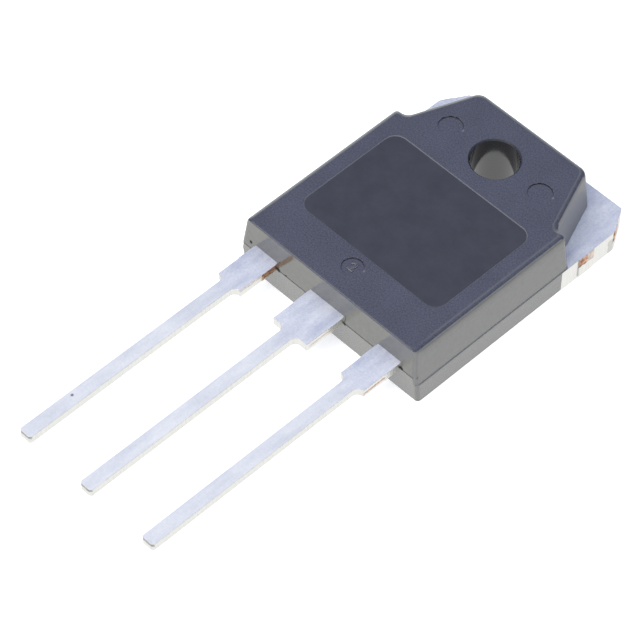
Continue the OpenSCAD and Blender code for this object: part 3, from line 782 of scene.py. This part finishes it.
def skin_of(normal, centre):
    """Which skin a face has, from its place and its normal, whose z is 1 up and 0 upright."""
    in_hole = math.hypot(centre.x, centre.y) < HOLE_REACH and abs(normal.z) < 0.9
    if in_hole and abs(normal.z) < 0.3:
        return bore_skin
    depth = TOP_Z - centre.z
    sunk = normal.z > 0.99 and FIELD_DEPTH[0] < depth < FIELD_DEPTH[1]
    if in_hole or (sunk and FIELD_Y[0] < centre.y < FIELD_Y[1]):
        return field_skin
    on_top = depth < TOP_STEP and abs(centre.x) < TOP_X and TOP_Y[0] < centre.y < TOP_Y[1]
    rounds_over = normal.z > 0.6 and depth < TOP_ROUND
    if abs(normal.z) > 0.8 or rounds_over or on_top:
        return matt_skin
    lower = centre.z < LOWER_Z
    if lower and normal.z > 0.5:
        return soft_skin
    on_long_side = abs(normal.x) > 0.9 and centre.y < LONG_SIDE_END
    if lower or on_long_side or normal.y < -0.9:
        return draft_skin
    return soft_skin


for face in body.data.polygons:
    face.material_index = SKINS.index(skin_of(face.normal, face.center))
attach(body, "root")
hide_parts("moulded_body")

# Mould cavity number
# A plain number cut into the mould pin, so that it stands up from the floor of the round recess.
# It is part of the moulding and stays below the top face.
NUMBER_TALL = 0.70 * MM
# A font's size over the height of its digits
FONT_OVER_DIGIT = 1.4
NUMBER_RELIEF = 0.035 * MM
NUMBER_ROUND = 0.03 * MM
# Its middle lies this far below the top face
NUMBER_DEPTH = 0.05 * MM
recess_x, recess_y = MARKS[2][0]
letter = bpy.data.objects.new("cavity_number", bpy.data.curves.new("cavity_number", "FONT"))
letter.data.body = "2"
letter.data.align_x = "CENTER"
letter.data.align_y = "CENTER"
letter.data.size = FONT_OVER_DIGIT * NUMBER_TALL
letter.data.extrude = NUMBER_RELIEF / 2
letter.data.bevel_depth = NUMBER_ROUND
bpy.context.scene.collection.objects.link(letter)
mesh = bpy.data.meshes.new_from_object(
    letter.evaluated_get(bpy.context.evaluated_depsgraph_get()))
mesh.transform(Matrix.Translation((recess_x * MM, recess_y * MM, TOP_Z - NUMBER_DEPTH)))
bpy.data.objects.remove(letter)
number = bpy.data.objects.new("cavity_number", mesh)
bpy.context.scene.collection.objects.link(number)
number.data.materials.clear()
# Its top is as matt as the body's, and its rounded flanks are smoother, with the paler skin that
# paints a glint on them
number.data.materials.append(matt_skin)
number.data.materials.append(soft_skin)
for face in number.data.polygons:
    face.material_index = int(face.normal.z < 0.9)
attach(number, "root")

# Mould flash
# Crumbs of resin that squeezed into the parting line on the lead face and round the mould pin of
# the screw hole, and broke off unevenly.
tree, given, result = new_growth("mould crumbs", [
    ("Path", "Geometry"), ("Spacing", "Float"), ("Smallest", "Vector"), ("Largest", "Vector"),
    ("Share", "Float"), ("Seed", "Int"), ("Material", "Material")])
curve = add(tree, "GeometryNodeMeshToCurve", {0: given["Path"]})
points = add(tree, "GeometryNodeResampleCurve", {"Curve": curve.outputs[0],
                                                 "Length": given["Spacing"]}, mode="LENGTH")
kept = add(tree, "FunctionNodeRandomValue", {"Probability": given["Share"],
                                             "Seed": given["Seed"]}, data_type="BOOLEAN")
size = add(tree, "FunctionNodeRandomValue", {"Min": given["Smallest"], "Max": given["Largest"],
                                             "Seed": given["Seed"]}, data_type="FLOAT_VECTOR")
crumb = add(tree, "GeometryNodeMeshIcoSphere", {"Radius": 1.0, "Subdivisions": 2})
strewn = add(tree, "GeometryNodeInstanceOnPoints", {
    "Points": points.outputs[0], "Instance": crumb.outputs[0], "Selection": kept.outputs[3],
    "Scale": size.outputs[0]})
real = add(tree, "GeometryNodeRealizeInstances", {0: strewn.outputs[0]})
soft = add(tree, "GeometryNodeSetShadeSmooth", {0: real.outputs[0]})
coated = add(tree, "GeometryNodeSetMaterial", {"Geometry": soft.outputs[0],
                                               "Material": given["Material"]})
tree.links.new(coated.outputs[0], result.inputs[0])

# Part of the hole's rim, by angle in degrees, just below the top face
RIM_RADIUS = 1.69 * MM
RIM_Z = TOP_Z - 0.045 * MM
RIM_ANGLES = range(70, 202, 3)
rim = [(RIM_RADIUS * math.cos(math.radians(angle)), RIM_RADIUS * math.sin(math.radians(angle)),
        RIM_Z) for angle in RIM_ANGLES]
LEAD_FACE = -15.0 * MM
LEAD_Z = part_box("base_lead")[0][2]
seam_left, seam_right = ([(x * MM, LEAD_FACE, LEAD_Z) for x in ends]
                         for ends in ((-3.80, -2.05), (6.58, 7.55)))
HOLE_CRUMBS = {"Spacing": 0.1 * MM, "Smallest": (0.02 * MM, 0.02 * MM, 0.01 * MM),
               "Largest": (0.06 * MM, 0.06 * MM, 0.035 * MM), "Material": field_skin}
SEAM_CRUMBS = {"Spacing": 0.12 * MM, "Smallest": (0.02 * MM, 0.01 * MM, 0.01 * MM),
               "Largest": (0.08 * MM, 0.03 * MM, 0.04 * MM), "Material": bore_skin}
# Name, crumbs, path, share of places that keep a crumb, and seed
for name, crumbs, path, share, seed in (("flash_hole", HOLE_CRUMBS, rim, 0.6, 7),
                                        ("flash_left", SEAM_CRUMBS, seam_left, 0.5, 3),
                                        ("flash_right", SEAM_CRUMBS, seam_right, 0.6, 5)):
    piece = grown(tree, name, {**crumbs, "Share": share, "Seed": seed}, path)
    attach(piece, "root")

# Finished model
bpy.context.scene.view_settings.view_transform = "Standard"
